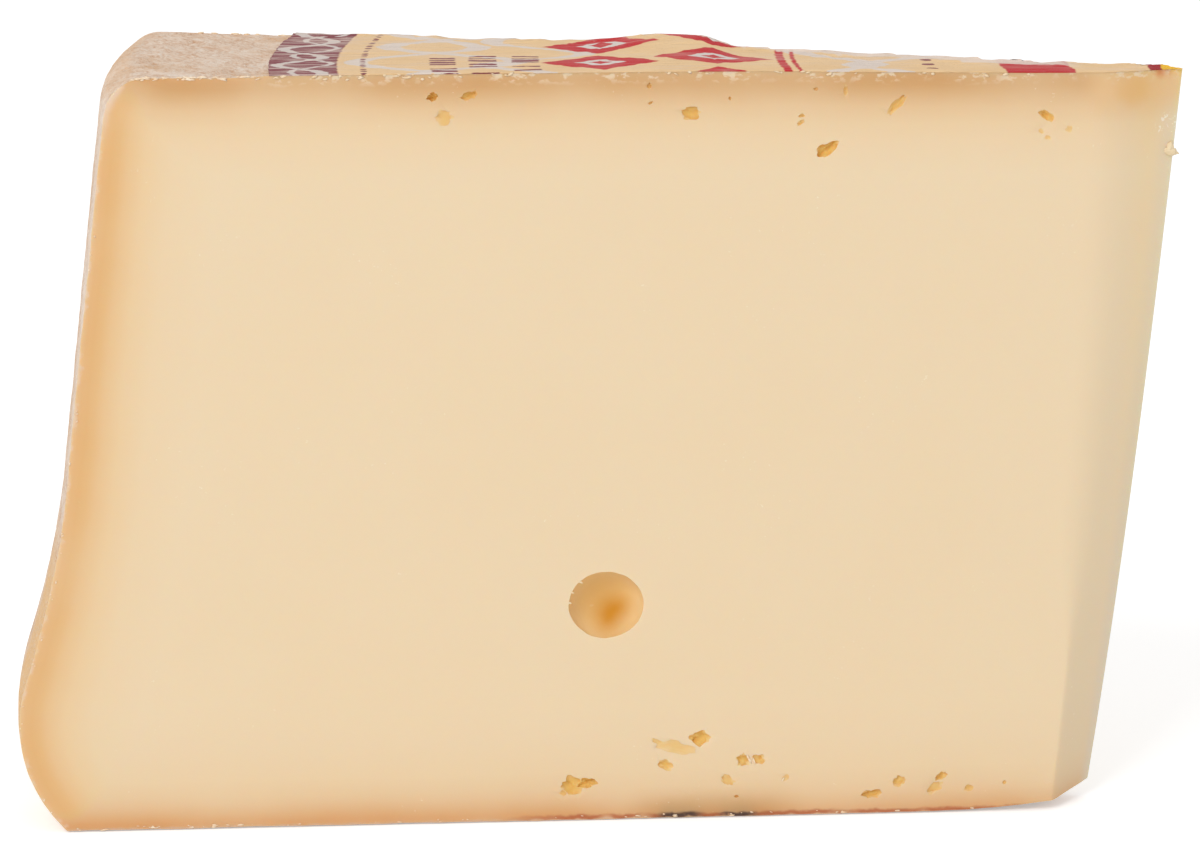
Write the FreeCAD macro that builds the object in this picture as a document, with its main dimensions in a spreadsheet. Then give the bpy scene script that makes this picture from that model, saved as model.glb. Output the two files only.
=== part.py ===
import FreeCAD, Part
import math
import os

import Sketcher

# A wedge of semi-hard cheese, cut from a tall pressed wheel, with its paper label.
# The wheel is drawn about its own axis, which is Z: the heel of the wedge lies
# toward -X and the long front cut is a plane square to Y.

doc = FreeCAD.newDocument("CheeseWedge")

# Every size in millimetres or degrees: alias, value, what it is.
SIZES = (
    ("WheelHeight", 90.0, "height of the pressed wheel"),
    ("WheelRadius", 191.5, "radius of the wheel at the widest place of its foot"),
    ("WallSetIn", 11.4, "how far inside that the wall meets the shoulder"),
    ("WallLean", 6.8, "lean of the upper wall from the vertical, degrees"),
    ("ShoulderRound", 5.0, "round between the wall and the top"),
    ("WaistRound", 120.0, "hollow curve between the wall and the foot"),
    ("FootRound", 18.0, "round of the bulging foot"),
    ("FootLevel", 12.8, "height of the widest place of the foot"),
    ("FlatRadius", 85.0, "radius where the flat underside begins to rise inward"),
    ("DishRound", 120.0, "curve of the hollow in the middle of the underside"),
    ("DishDepth", 3.0, "depth of that hollow"),
    ("SectorSpan", 50.0, "turn of the wheel sector that the wedge is cut from, degrees"),
    ("FrontCutOffset", 17.0, "distance of the front cut from the wheel's axis"),
    ("ApexReach", 44.4, "distance along the front cut from the axis to where both cuts meet"),
    ("WedgeAngle", 18.6, "angle between the front cut and the back cut, degrees"),
    ("NoseReachTop", 62.7, "distance from the axis to the blunt nose, at the top"),
    ("NoseReachMid", 64.3, "the same at half height"),
    ("NoseReachFoot", 67.7, "the same at the underside"),
    ("NoseTurnTop", 16.6, "turn of the nose cut from the front cut at the top, degrees"),
    ("NoseTurnMid", 31.0, "the same at half height"),
    ("NoseTurnFoot", 49.0, "the same at the underside"),
    ("EyeReach", 121.2, "distance from the axis to the large eye"),
    ("EyeLevel", 26.6, "height of the large eye"),
    ("EyeWidth", 8.9, "width of the large eye"),
    ("EyeHeight", 8.1, "height of its mouth"),
    ("EyeDepth", 5.0, "depth of the large eye behind the front cut"),
    ("LabelRadius", 160.5, "radius of the round paper label"),
    ("LabelThickness", 0.2, "thickness of the paper with its glue"),
    ("CreaseReach", 109.5, "distance from the axis to the crest of the label's crease"),
    ("CreaseRise", 15.0, "length of the slow rise to the crest, on the heel's side"),
    ("CreaseFall", 6.0, "length of the steep fall after it, on the nose's side"),
    ("CreaseHeight", 1.5, "lift of the crest over the back cut"),
)

# The small openings in the front cut, two to five millimetres across: distance from the
# axis, height, width, height of the mouth and tilt in degrees.
UPPER_PINS = (
    (140.0, 85.0, 2.1, 1.6, 0.0),
    (137.1, 87.6, 2.1, 1.2, -12.0),
    (111.4, 85.1, 1.9, 1.8, 0.0),
    (95.5, 80.8, 2.8, 1.5, 35.0),
    (87.3, 85.9, 2.8, 1.1, 30.0),
)
LOWER_PINS = (
    (125.4, 4.4, 2.2, 2.2, 0.0),
    (123.4, 4.7, 2.2, 1.8, 0.0),
    (113.0, 8.9, 4.8, 2.0, 8.0),
    (110.3, 9.9, 2.0, 1.7, 0.0),
    (103.9, 7.0, 2.9, 2.0, 20.0),
    (89.3, 2.5, 2.4, 1.3, 0.0),
    (81.6, 3.2, 2.2, 1.8, 0.0),
)
PIN_FIELDS = ("Reach", "Level", "Width", "Height", "Tilt")
PIN_DEPTH_SHARE = 0.6

# How much of its height the label's crease has where it meets the front cut, and the
# hollow arc's share of the two radii on each side of its crest.
CREASE_START = 0.08
HOLLOW_SHARE = 0.6

# How far the cutting shapes stand out beyond what they cut.
OVERSHOOT = 10.0
CLEARANCE = 1.0
NOSE_TOOL_LENGTH = 40.0
NOSE_TOOL_DEPTH = 30.0


def make_sheet():
    """The driving dimensions, one row each: note, value with its alias."""
    sheet = doc.addObject("Spreadsheet::Sheet", "Sizes")
    rows = [(alias, value, note) for alias, value, note in SIZES]
    for number, pin in enumerate(UPPER_PINS + LOWER_PINS, start=1):
        for field, value in zip(PIN_FIELDS, pin):
            rows.append((f"Pin{field}{number:02d}x", value, f"small opening {number}: {field.lower()}"))
    for row, (alias, value, note) in enumerate(rows, start=1):
        sheet.set(f"A{row}", note)
        sheet.set(f"B{row}", str(value))
        sheet.setAlias(f"B{row}", alias)
    doc.recompute()
    return sheet


sheet = make_sheet()


def size(alias):
    """A driving dimension, read from the sheet."""
    return float(sheet.get(alias))


def bind(item, **expressions):
    """Tie properties to the sheet: a double underscore stands for a dot."""
    for name, expression in expressions.items():
        item.setExpression(name.replace("__", "."), expression)


def dimension(sketch, name, expression, *constraint):
    """Add a named sketch dimension whose value follows the sheet."""
    index = sketch.addConstraint(Sketcher.Constraint(*constraint))
    sketch.renameConstraint(index, name)
    sketch.setExpression(f"Constraints.{name}", expression)


def origin_plane(body, role):
    """One of a body's own origin planes."""
    return next(plane for plane in body.Origin.OriginFeatures if plane.Role == role)


def point(x, y):
    return FreeCAD.Vector(x, y, 0)


def polar(centre, radius, degrees):
    """The point of a circle at an angle from the sketch's own x axis."""
    turn = math.radians(degrees)
    return centre + radius * point(math.cos(turn), math.sin(turn))


def arc(centre, radius, start, end):
    """An arc turning counter-clockwise between two angles in degrees."""
    circle = Part.Circle(centre, FreeCAD.Vector(0, 0, 1), radius)
    return Part.ArcOfCircle(circle, math.radians(start), math.radians(end))


def draw_wheel_profile(sketch):
    """Half section of the wheel, drawn on the -X side of the axis.

    From the axis outward along the underside, up round the bulging foot, the
    hollow waist and the leaning wall, over the shoulder and back along the top.
    """
    height = size("WheelHeight")
    lean = size("WallLean")
    dish_centre = point(-size("FlatRadius"), size("DishRound"))
    dish_turn = math.degrees(math.acos(1 - size("DishDepth") / size("DishRound")))
    dish_edge = polar(dish_centre, size("DishRound"), 270 + dish_turn)
    foot_centre = point(size("FootRound") - size("WheelRadius"), size("FootLevel"))
    foot_turn = math.degrees(math.asin(size("FootLevel") / size("FootRound")))
    foot_start = polar(foot_centre, size("FootRound"), 180 + foot_turn)
    waist_turn = 20.0
    foot_end = polar(foot_centre, size("FootRound"), 180 - waist_turn)
    waist_centre = foot_end + size("WaistRound") * point(
        -math.cos(math.radians(waist_turn)), math.sin(math.radians(waist_turn))
    )
    waist_end = polar(waist_centre, size("WaistRound"), -lean)
    wall_top = size("WheelRadius") - size("WallSetIn")
    shoulder_centre = point(size("ShoulderRound") - wall_top, height - size("ShoulderRound"))
    wall_end = polar(shoulder_centre, size("ShoulderRound"), 180 - lean)
    top_edge = point(shoulder_centre.x, height)

    dish_top, dish, underside, foot, waist, wall, shoulder, top, axis = sketch.addGeometry(
        [
            Part.LineSegment(point(0, size("DishDepth")), dish_edge),
            arc(dish_centre, size("DishRound"), 270, 270 + dish_turn),
            Part.LineSegment(point(dish_centre.x, 0), foot_start),
            arc(foot_centre, size("FootRound"), 180 - waist_turn, 180 + foot_turn),
            arc(waist_centre, size("WaistRound"), -waist_turn, -lean),
            Part.LineSegment(waist_end, wall_end),
            arc(shoulder_centre, size("ShoulderRound"), 90, 180 - lean),
            Part.LineSegment(top_edge, point(0, height)),
            Part.LineSegment(point(0, height), point(0, size("DishDepth"))),
        ],
        False,
    )
    start, end, centre = 1, 2, 3
    origin = (-1, 1)
    upright = -2

    for smooth in (
        (dish, start, underside, start),
        (foot, start, waist, start),
        (waist, end, wall, start),
        (wall, end, shoulder, end),
        (shoulder, start, top, start),
    ):
        sketch.addConstraint(Sketcher.Constraint("Tangent", *smooth))
    for corner in (
        (dish_top, end, dish, end),
        (underside, end, foot, end),
        (top, end, axis, start),
        (axis, end, dish_top, start),
    ):
        sketch.addConstraint(Sketcher.Constraint("Coincident", *corner))
    for level in (dish_top, underside, top):
        sketch.addConstraint(Sketcher.Constraint("Horizontal", level))
    sketch.addConstraint(Sketcher.Constraint("PointOnObject", axis, start, upright))
    sketch.addConstraint(Sketcher.Constraint("PointOnObject", axis, end, upright))
    sketch.addConstraint(Sketcher.Constraint("PointOnObject", underside, start, -1))

    dimension(sketch, "DishDepth", "Sizes.DishDepth", "DistanceY", *origin, dish_top, end, size("DishDepth"))
    dimension(sketch, "DishRound", "Sizes.DishRound", "Radius", dish, size("DishRound"))
    dimension(sketch, "FlatRadius", "Sizes.FlatRadius", "DistanceX", underside, start, *origin,
              size("FlatRadius"))
    dimension(sketch, "FootRound", "Sizes.FootRound", "Radius", foot, size("FootRound"))
    dimension(sketch, "FootLevel", "Sizes.FootLevel", "DistanceY", *origin, foot, centre, size("FootLevel"))
    dimension(sketch, "FootCentre", "Sizes.WheelRadius - Sizes.FootRound", "DistanceX", foot, centre,
              *origin, size("WheelRadius") - size("FootRound"))
    dimension(sketch, "WaistRound", "Sizes.WaistRound", "Radius", waist, size("WaistRound"))
    dimension(sketch, "WallLean", "Sizes.WallLean", "Angle", wall, start, upright, start,
              math.radians(lean))
    dimension(sketch, "WallTop", "Sizes.WheelRadius - Sizes.WallSetIn", "DistanceX", wall, end, *origin,
              wall_top)
    dimension(sketch, "ShoulderRound", "Sizes.ShoulderRound", "Radius", shoulder, size("ShoulderRound"))
    dimension(sketch, "WheelHeight", "Sizes.WheelHeight", "DistanceY", *origin, top, end, height)


def wheel_sector():
    """The part of the pressed wheel round the wedge, spun from its half section."""
    body = doc.addObject("PartDesign::Body", "WheelSector")
    profile = body.newObject("Sketcher::SketchObject", "WheelProfile")
    profile.AttachmentSupport = (origin_plane(body, "XZ_Plane"), "")
    profile.MapMode = "FlatFace"
    doc.recompute()
    draw_wheel_profile(profile)
    doc.recompute()
    spin = body.newObject("PartDesign::Revolution", "WheelSpin")
    spin.Profile = profile
    spin.ReferenceAxis = (profile, ["V_Axis"])
    spin.Midplane = True
    bind(spin, Angle="Sizes.SectorSpan")
    doc.recompute()
    return body


def draw_outline(sketch, corners):
    """Draw a closed outline through its corners and return the numbers of its sides."""
    following = corners[1:] + corners[:1]
    sides = sketch.addGeometry([Part.LineSegment(*ends) for ends in zip(corners, following)], False)
    for side, after in zip(sides, sides[1:] + sides[:1]):
        sketch.addConstraint(Sketcher.Constraint("Coincident", side, 2, after, 1))
    return sides


def portion_block():
    """The wedge between the two cuts, seen from above a triangle with its tip at the nose."""
    reach = size("WheelRadius") + OVERSHOOT
    front = -size("FrontCutOffset")
    back = front + (reach - size("ApexReach")) * math.tan(math.radians(size("WedgeAngle")))
    plan = doc.addObject("Sketcher::SketchObject", "PortionPlan")
    corners = [point(-size("ApexReach"), front), point(-reach, back), point(-reach, front)]
    back_cut, heel_side, front_cut = draw_outline(plan, corners)
    plan.addConstraint(Sketcher.Constraint("Horizontal", front_cut))
    plan.addConstraint(Sketcher.Constraint("Vertical", heel_side))
    dimension(plan, "ApexReach", "Sizes.ApexReach", "DistanceX", front_cut, 2, -1, 1, size("ApexReach"))
    dimension(plan, "FrontCut", "Sizes.FrontCutOffset", "DistanceY", front_cut, 2, -1, 1,
              size("FrontCutOffset"))
    dimension(plan, "HeelReach", f"Sizes.WheelRadius + {OVERSHOOT}", "DistanceX", front_cut, 1, -1, 1, reach)
    dimension(plan, "WedgeAngle", "Sizes.WedgeAngle", "Angle", back_cut, 1, front_cut, 2,
              math.radians(size("WedgeAngle")))
    block = doc.addObject("Part::Extrusion", "Portion")
    block.Base = plan
    block.Dir = (0, 0, 1)
    block.Solid = True
    bind(block, LengthFwd=f"Sizes.WheelHeight + {OVERSHOOT}")
    bind(block, LengthRev=f"{OVERSHOOT}")
    return block


def nose_tool():
    """What the last cut takes off the tip: its face twists from the underside to the top."""
    levels = {
        "Foot": f"-{CLEARANCE}",
        "Mid": "Sizes.WheelHeight / 2",
        "Top": f"Sizes.WheelHeight + Sizes.LabelThickness + Sizes.CreaseHeight + {CLEARANCE}",
    }
    sections = []
    for place, level in levels.items():
        section = doc.addObject("Sketcher::SketchObject", f"NoseCut{place}")
        corners = [
            point(-OVERSHOOT, 0),
            point(-OVERSHOOT, -NOSE_TOOL_DEPTH),
            point(NOSE_TOOL_LENGTH, -NOSE_TOOL_DEPTH),
            point(NOSE_TOOL_LENGTH, 0),
        ]
        for side in draw_outline(section, corners):
            sketch_end = section.Geometry[side].StartPoint
            section.addConstraint(Sketcher.Constraint("DistanceX", -1, 1, side, 1, sketch_end.x))
            section.addConstraint(Sketcher.Constraint("DistanceY", -1, 1, side, 1, sketch_end.y))
        bind(
            section,
            Placement__Base__x=f"-Sizes.NoseReach{place}",
            Placement__Base__y="-Sizes.FrontCutOffset",
            Placement__Base__z=level,
            Placement__Rotation__Angle=f"Sizes.NoseTurn{place}",
        )
        sections.append(section)
    tool = doc.addObject("Part::Loft", "NoseTool")
    tool.Sections = sections
    tool.Solid = True
    tool.Ruled = False
    return tool


def eye(name, reach, level, width, height, depth, tilt="0"):
    """One gas hole: an ellipsoid whose middle lies in the front cut, open to the front."""
    hole = doc.addObject("Part::Ellipsoid", name)
    bind(
        hole,
        Radius1=f"({height}) / 2",
        Radius2=f"({width}) / 2",
        Radius3=depth,
        Placement__Base__x=f"-{reach}",
        Placement__Base__y="-Sizes.FrontCutOffset",
        Placement__Base__z=level,
    )
    hole.Placement.Rotation = FreeCAD.Rotation(FreeCAD.Vector(0, -1, 0), 1)
    bind(hole, Placement__Rotation__Angle=tilt)
    return hole


def eyes():
    """The large eye and the small openings near the top and the underside."""
    holes = [
        eye("LargeEye", "Sizes.EyeReach", "Sizes.EyeLevel", "Sizes.EyeWidth", "Sizes.EyeHeight",
            "Sizes.EyeDepth")
    ]
    for number in range(1, len(UPPER_PINS + LOWER_PINS) + 1):
        reach, level, width, height, tilt = (f"Sizes.Pin{field}{number:02d}x" for field in PIN_FIELDS)
        depth = f"{PIN_DEPTH_SHARE} * {width}"
        holes.append(eye(f"SmallEye{number:02d}", reach, level, width, height, depth, tilt))
    together = doc.addObject("Part::MultiFuse", "Eyes")
    together.Shapes = holes
    return together


def joined(kind, name, base, tool):
    """A boolean of two objects: Part::Common or Part::Cut."""
    result = doc.addObject(kind, name)
    result.Base = base
    result.Tool = tool
    return result


def make_cheese(portion, nose):
    """The wedge itself: wheel, both cuts, the blunt nose and the eyes."""
    wedge = joined("Part::Common", "CheeseWedge", wheel_sector(), portion)
    blunt = joined("Part::Cut", "BluntWedge", wedge, nose)
    return joined("Part::Cut", "Cheese", blunt, eyes())


def creased_section(level, crease_height):
    """Closed section of the paper at a distance behind the axis: flat, one soft crease, flat.

    Each side of the crease is a hollow arc that runs into a round one, and the two
    round ones meet level on the crest.
    """
    thickness = size("LabelThickness")
    rise = size("CreaseRise")
    fall = size("CreaseFall")
    reach = size("WheelRadius")

    def rounds(length):
        """Radius of the hollow arc and of the round one, and how far each of them turns."""
        both = (length**2 + crease_height**2) / (2 * crease_height)
        hollow = HOLLOW_SHARE * both
        return hollow, both - hollow, math.degrees(math.asin(length / both))

    rise_hollow, rise_round, rise_turn = rounds(rise)
    fall_hollow, fall_round, fall_turn = rounds(fall)

    def face(lift):
        """The underside of the paper, or its upper side one thickness over it."""
        return [
            Part.LineSegment(point(-reach, lift), point(-rise, lift)),
            arc(point(-rise, rise_hollow), rise_hollow - lift, 270, 270 + rise_turn),
            arc(point(0, crease_height - rise_round), rise_round + lift, 90, 90 + rise_turn),
            arc(point(0, crease_height - fall_round), fall_round + lift, 90 - fall_turn, 90),
            arc(point(fall, fall_hollow), fall_hollow - lift, 270 - fall_turn, 270),
            Part.LineSegment(point(fall, lift), point(reach, lift)),
        ]

    ends = [
        Part.LineSegment(point(end, 0), point(end, thickness))
        for end in (-reach, reach)
    ]
    edges = [curve.toShape() for curve in face(0) + face(thickness) + ends]
    wire = Part.Wire(Part.sortEdges(edges)[0])
    upright = FreeCAD.Rotation(FreeCAD.Vector(1, 0, 0), 90)
    place = FreeCAD.Vector(-size("CreaseReach"), level, size("WheelHeight"))
    wire.Placement = FreeCAD.Placement(place, upright)
    return wire


def creased_paper():
    """The sheet before it is cut: its crease rises from the front cut to the back cut."""
    front = -size("FrontCutOffset")
    depth = (size("CreaseReach") - size("ApexReach")) * math.tan(math.radians(size("WedgeAngle")))
    faint = CREASE_START * size("CreaseHeight")
    stations = (
        (front - OVERSHOOT, faint),
        (front, faint),
        (front + depth, size("CreaseHeight")),
        (size("WheelRadius"), size("CreaseHeight")),
    )
    sheet_of_paper = doc.addObject("Part::Feature", "CreasedPaper")
    sheet_of_paper.Shape = Part.makeLoft([creased_section(*station) for station in stations], True, True)
    return sheet_of_paper


def make_label(portion, nose):
    """The round paper label, cut through with the cheese and flush with its cuts."""
    disc = doc.addObject("Part::Cylinder", "LabelDisc")
    bind(
        disc,
        Radius="Sizes.LabelRadius",
        Height=f"Sizes.LabelThickness + Sizes.CreaseHeight + {2 * CLEARANCE}",
        Placement__Base__z=f"Sizes.WheelHeight - {CLEARANCE}",
    )
    rounded = joined("Part::Common", "RoundPaper", creased_paper(), disc)
    wedge = joined("Part::Common", "LabelWedge", rounded, portion)
    return joined("Part::Cut", "Label", wedge, nose)


portion = portion_block()
nose = nose_tool()
pieces = {
    "cheese": make_cheese(portion, nose),
    "label": make_label(portion, nose),
}
doc.recompute()

# The finished part stands with its origin under the middle of the cheese.
bounds = pieces["cheese"].Shape.optimalBoundingBox(True, False)
for label, piece in pieces.items():
    piece.Label = label
    piece.Placement.Base = FreeCAD.Vector(-bounds.Center.x, -bounds.Center.y, -bounds.ZMin)
doc.recompute()

for item in doc.Objects:
    if "Invalid" in item.State or "Error" in item.State:
        raise RuntimeError(f"{item.Name} failed: {item.State}")
for label, piece in pieces.items():
    if piece.Shape.isNull() or not piece.Shape.isValid() or len(piece.Shape.Solids) != 1:
        raise RuntimeError(f"{label} is not one valid solid")

os.makedirs("parts", exist_ok=True)
for label, piece in pieces.items():
    piece.Shape.exportStep(f"parts/{label}.step")
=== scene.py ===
import math
import random

import bmesh
import bpy
from mathutils import Matrix, Vector, kdtree, noise


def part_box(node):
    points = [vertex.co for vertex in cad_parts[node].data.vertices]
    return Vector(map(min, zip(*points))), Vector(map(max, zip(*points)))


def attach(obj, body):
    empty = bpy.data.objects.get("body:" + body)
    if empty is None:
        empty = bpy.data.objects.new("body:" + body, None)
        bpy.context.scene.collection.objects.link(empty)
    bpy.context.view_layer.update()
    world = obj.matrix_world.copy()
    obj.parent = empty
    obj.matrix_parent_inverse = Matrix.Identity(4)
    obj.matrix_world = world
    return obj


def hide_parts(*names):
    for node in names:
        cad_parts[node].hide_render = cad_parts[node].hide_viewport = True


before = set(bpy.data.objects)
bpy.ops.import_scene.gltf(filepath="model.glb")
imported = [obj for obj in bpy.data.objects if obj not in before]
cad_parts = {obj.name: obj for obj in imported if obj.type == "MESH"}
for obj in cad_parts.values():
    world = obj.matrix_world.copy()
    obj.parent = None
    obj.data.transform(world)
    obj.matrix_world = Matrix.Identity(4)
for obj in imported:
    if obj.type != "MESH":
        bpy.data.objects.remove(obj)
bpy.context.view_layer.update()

# ----------------------------------------------------------
# The wedge of cheese. It comes from a pressed wheel whose rind is one skin over wall,
# top and underside: a wire takes it out in two straight cuts that meet at a narrow
# angle, and a short third cut blunts the tip. Gas holes, the eyes, lie open in the cuts.

MM = 0.001
cheese_low, cheese_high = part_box("cheese")
wheel_radius = 191.5
wheel_height = cheese_high.z / MM
label_radius = 160.3
front_offset = 17
apex_reach = 44.4
wedge_angle = math.radians(18.6)
sweep_start = math.radians(206)

# The eyes, stains and tears along the front cut are counted from here, above the large eye's left.
eye_reach = 122

# The cut face lies a hair inside the box, which leaves room for crumbs and paper fibres.
face_set_in = 0.2
back_set_in = 0.03

# Corners nearer to each other than this, in metres, are one corner.
same_place = 1e-7

upward = Vector((0, 0, 1))
axis = Vector((cheese_low.x + wheel_radius * MM, cheese_low.y + front_offset * MM, 0))
front_out = Vector((0, -1, 0))
back_out = Vector((math.sin(wedge_angle), math.cos(wedge_angle), 0))


def on_front(reach, level, inward=0):
    """A place by the front cut, in millimetres: away from the wheel's middle, up, and behind the cut."""
    return Vector((axis.x - reach * MM, cheese_low.y + inward * MM, level * MM))


# The label was pasted a little off the wheel's middle, toward the front cut.
label_middle = axis + Vector((0, -13 * MM, 0))

apex = on_front(apex_reach, 0)
front_cut = on_front(apex_reach, 0, face_set_in)
back_cut = apex - back_out * back_set_in * MM


def linear(*colour):
    """A colour written as 0 to 255, as Blender's linear values."""
    parts = [part / 255 for part in colour]
    return (*(part / 12.92 if part <= 0.04045 else ((part + 0.055) / 1.055) ** 2.4 for part in parts), 1)


def eased(value, start, end):
    """0 before the start, 1 after the end, and a smooth rise between them."""
    share = min(1, max(0, (value - start) / (end - start)))
    return share * share * (3 - 2 * share)


def ripple(place, size, seed=0):
    """Smooth noise from -1 to 1 whose lumps are about the given size in millimetres."""
    return noise.noise(place / (size * MM) + Vector((seed, 7.3 * seed, 0)))


# --- Shader helpers

def place_node(tree, kind, sources=None, **settings):
    """A new node with its settings made and its inputs fed by other nodes or plain values."""
    node = tree.nodes.new(f"ShaderNode{kind}")
    for name, value in settings.items():
        setattr(node, name, value)
    for name, source in (sources or {}).items():
        if isinstance(source, bpy.types.NodeSocket):
            tree.links.new(source, node.inputs[name])
        else:
            node.inputs[name].default_value = source
    return node


def tree_of(*sources):
    """The node tree of the first socket among some sockets and plain values."""
    return next(source.id_data for source in sources if isinstance(source, bpy.types.NodeSocket))


def calc(operation, *values):
    """The result of one step of arithmetic."""
    step = place_node(tree_of(*values), "Math", dict(enumerate(values)), operation=operation)
    return step.outputs[0]


def times(first, *others):
    """Values multiplied one after another."""
    for other in others:
        first = calc("MULTIPLY", first, other)
    return first


def plus(first, second):
    """Two values added."""
    return calc("ADD", first, second)


def minus(first, second):
    """One value less another."""
    return calc("SUBTRACT", first, second)


def apart(first, second):
    """How far two values are apart."""
    return calc("ABSOLUTE", minus(first, second))


def squares(first, second):
    """The sum of two values' squares."""
    return plus(times(first, first), times(second, second))


def vector_calc(operation, *values, result="Vector"):
    """The result of one step of arithmetic on vectors."""
    step = place_node(tree_of(*values), "VectorMath", dict(enumerate(values)), operation=operation)
    return step.outputs[result]


def stretched(vector, factors):
    """A vector with each of its three parts multiplied by its own factor."""
    return vector_calc("MULTIPLY", vector, factors)


def component(vector, letter):
    """One part of a vector."""
    return place_node(tree_of(vector), "SeparateXYZ", {0: vector}).outputs[letter]


def away_from(place, middle, factors):
    """How far a place lies from a middle, each direction counted by its own factor."""
    away = stretched(vector_calc("SUBTRACT", place, middle), factors)
    return vector_calc("LENGTH", away, result="Value")


def behind(place, cut, outward):
    """How far a place lies behind one of the wire's cuts, in millimetres."""
    reach = vector_calc("DOT_PRODUCT", place, tuple(outward), result="Value")
    return minus(cut.dot(outward) / MM, reach)


def fade(value, start, end):
    """A mask that rises smoothly from 0 at the start to 1 at the end, or falls if they are swapped."""
    sources = {"Value": value, "From Min": start, "From Max": end}
    node = place_node(tree_of(value), "MapRange", sources, interpolation_type="SMOOTHSTEP")
    return node.outputs["Result"]


def paint(amount, under, over, blend="MIX"):
    """One colour laid over another by a mask."""
    tree = tree_of(amount, under, over)
    sources = {0: amount, 6: under, 7: over}
    return place_node(tree, "Mix", sources, data_type="RGBA", blend_type=blend).outputs[2]


def wash(colour, mask, strength, over, blend="MIX"):
    """A colour, given as 0 to 255, laid thinly over what lies under it."""
    return paint(times(mask, strength), colour, linear(*over), blend)


def grain(place, size, detail=2.0, roughness=0.5):
    """Noise from 0 to 1 with lumps of about the given size in millimetres."""
    sources = {"Vector": place, "Scale": 1 / size, "Detail": detail, "Roughness": roughness}
    return place_node(tree_of(place), "TexNoise", sources).outputs[0]


def ramp(value, *stops, against=(1.0, 1.0, 1.0)):
    """A colour that runs through stops, each a value from 0 to 1, red, green and blue."""
    node = place_node(tree_of(value), "ValToRGB", {"Fac": value})
    elements = node.color_ramp.elements
    while len(elements) < len(stops):
        elements.new(0.5)
    for element, (position, *colour) in zip(elements, stops):
        element.position = position
        element.color = (*(part / whole for part, whole in zip(linear(*colour)[:3], against)), 1.0)
    return node.outputs["Color"]


def surface(shader, colour, height, strength, distance):
    """Give a material its colour and the fine relief of its skin."""
    tree = shader.id_data
    relief = {"Strength": strength, "Distance": distance, "Height": height}
    tree.links.new(colour, shader.inputs["Base Color"])
    tree.links.new(place_node(tree, "Bump", relief).outputs["Normal"], shader.inputs["Normal"])


def object_place(tree):
    """Object coordinates in millimetres."""
    coordinates = place_node(tree, "TexCoord").outputs["Object"]
    return stretched(coordinates, (1000, 1000, 1000))


def new_material(name, roughness, specular):
    """An empty material with its shader's plain values set; returns it with tree and shader."""
    material = bpy.data.materials.new(name)
    material.use_nodes = True
    shader = material.node_tree.nodes["Principled BSDF"]
    shader.inputs["Roughness"].default_value = roughness
    shader.inputs["Specular IOR Level"].default_value = specular
    return material, material.node_tree, shader


def new_effect(name, **outputs):
    """A node group that is given a place; returns it with that place and its output node."""
    group = bpy.data.node_groups.new(name, "ShaderNodeTree")
    group.interface.new_socket("Place", in_out="INPUT", socket_type="NodeSocketVector")
    for socket, kind in outputs.items():
        group.interface.new_socket(socket, in_out="OUTPUT", socket_type=f"NodeSocket{kind}")
    return group, group.nodes.new("NodeGroupInput").outputs["Place"], group.nodes.new("NodeGroupOutput")


def use_effect(group, place):
    """A node group set into the material that the place belongs to."""
    return place_node(tree_of(place), "Group", {"Place": place}, node_tree=group)


# --- The paste and its eyes

paste_colour = (237, 215, 180)

# The paste browns toward the rind: millimetres under it and the colour there.
under_heel = (
    (0, 230, 197, 158), (0.3, 229, 189, 140), (0.8, 228, 183, 127), (1.6, 228, 182, 124),
    (2.5, 230, 187, 131), (3.6, 233, 196, 146), (5.5, 236, 206, 162), (8.6, 237, 212, 174),
    (13.8, 237, 215, 180),
)
under_top = (
    (0, 214, 168, 117), (0.8, 212, 164, 110), (1.5, 213, 166, 113), (2.5, 220, 179, 130),
    (4, 230, 196, 152), (6, 235, 207, 166), (8, 237, 211, 173), (12, 237, 215, 180),
)
under_foot = (
    (0, 222, 173, 128), (0.6, 220, 165, 112), (1, 221, 168, 115), (2, 225, 184, 137),
    (3, 230, 196, 154), (4, 232, 203, 163), (6, 235, 210, 172), (10, 236, 213, 178),
    (14, 237, 215, 180),
)
DEEPEST = 14


def paste_effect():
    """The paste's colour anywhere in the wheel, from its depths under heel, top and underside."""
    group, place, made = new_effect("paste under rind", Color="Color")
    depths = place_node(group, "Attribute", attribute_name="under_rind").outputs["Vector"]
    heel, top, foot = (component(depths, letter) for letter in "XYZ")
    drift = times(minus(grain(place, 7, 3), 0.5), 0.6)

    # Round the shoulder the brown band under the top dies out, and the skin is thicker.
    corner = fade(heel, 6.5, 2)
    top = calc("SQRT", plus(times(top, top), times(corner, 3.5)))
    level = component(place, "Z")
    skin = times(fade(level, 82, 87), fade(plus(heel, drift), 1.3, 0.2))
    flecks = plus(heel, times(grain(place, 1.3, 3), 2.4))
    skin = calc("MAXIMUM", skin, times(fade(flecks, 1.7, 1.1), 0.7))
    tints = None
    for side, bands in zip((heel, top, foot), (under_heel, under_top, under_foot)):
        depth = calc("MAXIMUM", plus(side, drift), 0)
        stops = [(level / DEEPEST, *colour) for level, *colour in bands]
        tint = ramp(calc("DIVIDE", depth, DEEPEST), *stops, against=linear(*paste_colour))
        tints = tint if tints is None else paint(1, tints, tint, "DARKEN")
    colour = paint(1, linear(*paste_colour), tints, "MULTIPLY")
    cloud = fade(grain(place, 22), 0.35, 0.7)
    colour = wash(colour, cloud, 0.35, (237, 213, 176))
    colour = wash(colour, skin, 0.9, (231, 206, 182))
    group.links.new(colour, made.inputs["Color"])
    return group


paste_under_rind = paste_effect()


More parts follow.
